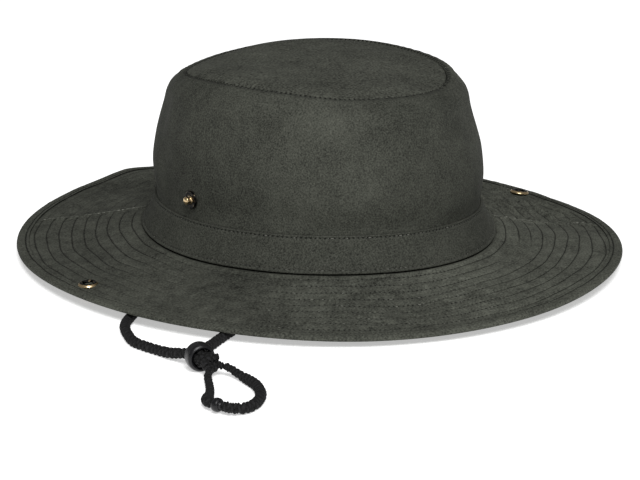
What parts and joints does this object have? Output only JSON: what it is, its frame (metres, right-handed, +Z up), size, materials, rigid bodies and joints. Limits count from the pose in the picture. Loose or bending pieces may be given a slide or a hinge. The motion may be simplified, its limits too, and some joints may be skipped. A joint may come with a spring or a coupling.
{
  "type": "oilskin hat",
  "caption": "Wide brimmed oilskin hat lying on its brim: round crown with a sewn top and band, row-stitched brim with snaps, and a braided chin cord with slider and bead.",
  "frame": {"origin": "middle of the hat's own outline at floor level, under the middle of the crown", "axes": "+Z up; the front of the hat faces -Y and the wearer's left is +X"},
  "size_m": [0.3744, 0.3767, 0.1132],
  "materials": {
    "oilskin": "dark olive-grey waxed cotton, faintly mottled, low sheen",
    "stitched_oilskin": "the same cloth quilted by rows of stitches, puckered between them",
    "aged_brass": "aged brass and gunmetal snaps, worn bright on their rims",
    "braided_cord": "black braided cord, matt",
    "black_plastic": "black moulded plastic, satin"
  },
  "bodies": {
    "root": {"crown_top": "oilskin", "crown_wall": "oilskin", "crown_band": "oilskin", "brim_edge": "oilskin", "cord_tab_left": "oilskin", "cord_tab_right": "oilskin", "brim": "stitched_oilskin", "snap_socket_right": "aged_brass", "snap_cap_right": "aged_brass", "snap_stud_right": "aged_brass", "stud_cap_right": "aged_brass", "snap_socket_left": "aged_brass", "snap_cap_left": "aged_brass", "snap_stud_left": "aged_brass", "stud_cap_left": "aged_brass", "cord_strand_short": "braided_cord", "cord_strand_long": "braided_cord", "cord_loop_out": "braided_cord", "cord_loop_back": "braided_cord", "cord_knot": "braided_cord", "cord_slider": "black_plastic", "cord_bead": "black_plastic"}
  },
  "joints": []
}
